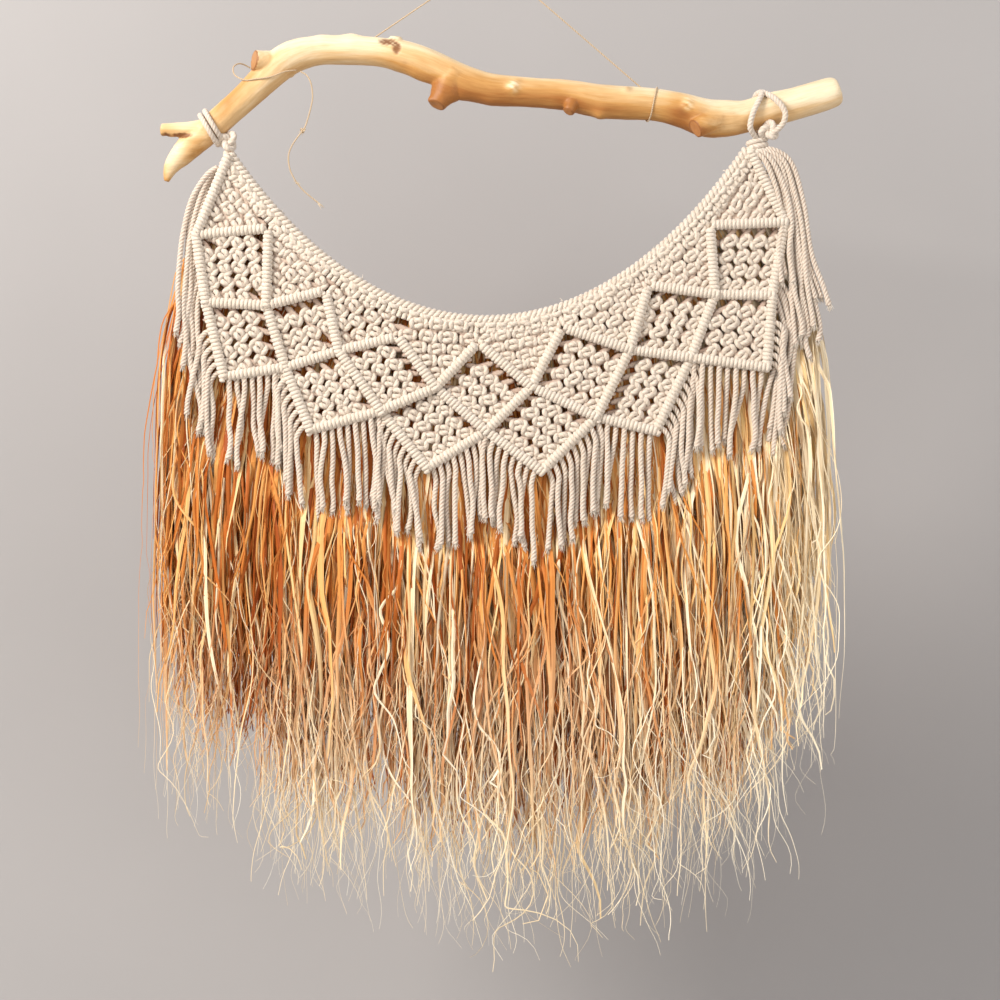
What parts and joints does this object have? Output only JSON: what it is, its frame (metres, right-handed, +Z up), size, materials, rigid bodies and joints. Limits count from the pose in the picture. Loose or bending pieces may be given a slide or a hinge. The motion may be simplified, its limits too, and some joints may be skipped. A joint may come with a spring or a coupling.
{
  "type": "macrame wall hanging",
  "caption": "Cream knotted cotton bib with a curved neckline and cut fringe, over a raffia skirt, hung by two cord loops from a driftwood branch on thin twine.",
  "frame": {"origin": "the point where the hanging twine passes over its nail", "axes": "+X to the right as seen from the front, +Y towards the wall, +Z up"},
  "size_m": [0.531, 0.0368, 0.7433],
  "materials": {
    "driftwood": "peeled, dry and satin",
    "jute_twine": "dry twisted fibre",
    "cotton_cord": "matte twisted cotton",
    "raffia": "dry leaf strands with a slight sheen"
  },
  "bodies": {
    "branch_and_twine": {"driftwood_branch": "driftwood", "hanging_twine": "jute_twine", "twine_tail": "jute_twine", "left_hanging_loop": "cotton_cord", "right_hanging_loop": "cotton_cord"},
    "macrame_bib": {"lower_panel_1": "cotton_cord", "lower_panel_2": "cotton_cord", "lower_panel_3": "cotton_cord", "lower_panel_4": "cotton_cord", "lower_panel_5": "cotton_cord", "lower_panel_6": "cotton_cord", "lower_rib_1": "cotton_cord", "lower_rib_2": "cotton_cord", "lower_rib_3": "cotton_cord", "lower_rib_4": "cotton_cord", "lower_rib_5": "cotton_cord", "lower_rib_6": "cotton_cord", "rim_cord": "cotton_cord", "rim_panel_1": "cotton_cord", "rim_panel_2": "cotton_cord", "rim_panel_3": "cotton_cord", "rim_panel_4": "cotton_cord", "rim_panel_5": "cotton_cord", "rim_panel_6": "cotton_cord", "rim_panel_7": "cotton_cord", "rim_panel_8": "cotton_cord", "rim_rib_1": "cotton_cord", "rim_rib_2": "cotton_cord", "rim_rib_3": "cotton_cord", "rim_rib_4": "cotton_cord", "rim_rib_5": "cotton_cord", "rim_rib_6": "cotton_cord", "rim_rib_7": "cotton_cord", "rim_rib_8": "cotton_cord", "upper_panel_1": "cotton_cord", "upper_panel_2": "cotton_cord", "upper_panel_3": "cotton_cord", "upper_panel_4": "cotton_cord", "upper_panel_5": "cotton_cord", "upper_panel_6": "cotton_cord", "upper_panel_7": "cotton_cord", "upper_rib_1": "cotton_cord", "upper_rib_2": "cotton_cord", "upper_rib_3": "cotton_cord", "upper_rib_4": "cotton_cord", "upper_rib_5": "cotton_cord", "upper_rib_6": "cotton_cord", "upper_rib_7": "cotton_cord"},
    "fringe_1": {"fringe_1": "cotton_cord"},
    "fringe_2": {"fringe_2": "cotton_cord"},
    "fringe_3": {"fringe_3": "cotton_cord"},
    "fringe_4": {"fringe_4": "cotton_cord"},
    "fringe_5": {"fringe_5": "cotton_cord"},
    "fringe_6": {"fringe_6": "cotton_cord"},
    "left_side_tassel": {"left_side_tassel": "cotton_cord"},
    "raffia_centre": {"raffia_centre": "raffia"},
    "raffia_left": {"raffia_left": "raffia"},
    "raffia_right": {"raffia_right": "raffia"},
    "right_side_tassel": {"right_side_tassel": "cotton_cord"}
  },
  "joints": [
    {"name": "bib_swing", "type": "hinge", "parent": "branch_and_twine", "child": "macrame_bib", "pos_m": [0.00358, 0.0022, -0.13517], "axis": [-1, 0, -0.0076], "range_deg": [0, 35]},
    {"name": "raffia_left_swing", "type": "hinge", "parent": "macrame_bib", "child": "raffia_left", "pos_m": [-0.13479, 0.0006, -0.20189], "axis": [0.7442, 0, -0.6679], "range_deg": [0, 25]},
    {"name": "raffia_centre_swing", "type": "hinge", "parent": "macrame_bib", "child": "raffia_centre", "pos_m": [0, 0.0006, -0.25415], "axis": [0.9998, 0, 0.0191], "range_deg": [0, 25]},
    {"name": "raffia_right_swing", "type": "hinge", "parent": "macrame_bib", "child": "raffia_right", "pos_m": [0.13372, 0.0006, -0.19801], "axis": [0.732, 0, 0.6813], "range_deg": [0, 25]},
    {"name": "fringe_1_swing", "type": "hinge", "parent": "macrame_bib", "child": "fringe_1", "pos_m": [-0.1816, -0.004, -0.3092], "axis": [-1, 0, 0], "range_deg": [0, 25]},
    {"name": "fringe_2_swing", "type": "hinge", "parent": "macrame_bib", "child": "fringe_2", "pos_m": [-0.11838, -0.004, -0.32867], "axis": [-1, 0, 0], "range_deg": [0, 25]},
    {"name": "fringe_3_swing", "type": "hinge", "parent": "macrame_bib", "child": "fringe_3", "pos_m": [-0.0429, -0.004, -0.35229], "axis": [-1, 0, 0], "range_deg": [0, 25]},
    {"name": "fringe_4_swing", "type": "hinge", "parent": "macrame_bib", "child": "fringe_4", "pos_m": [0.03781, -0.004, -0.35526], "axis": [-1, 0, 0], "range_deg": [0, 25]},
    {"name": "fringe_5_swing", "type": "hinge", "parent": "macrame_bib", "child": "fringe_5", "pos_m": [0.11466, -0.004, -0.3188], "axis": [-1, 0, 0], "range_deg": [0, 25]},
    {"name": "fringe_6_swing", "type": "hinge", "parent": "macrame_bib", "child": "fringe_6", "pos_m": [0.18304, -0.004, -0.30133], "axis": [-1, 0, 0], "range_deg": [0, 25]},
    {"name": "left_tassel_swing", "type": "hinge", "parent": "macrame_bib", "child": "left_side_tassel", "pos_m": [-0.2261, -0.004, -0.1592], "axis": [-1, 0, 0], "range_deg": [0, 25]},
    {"name": "right_tassel_swing", "type": "hinge", "parent": "macrame_bib", "child": "right_side_tassel", "pos_m": [0.234, -0.004, -0.1552], "axis": [-1, 0, 0], "range_deg": [0, 25]}
  ]
}
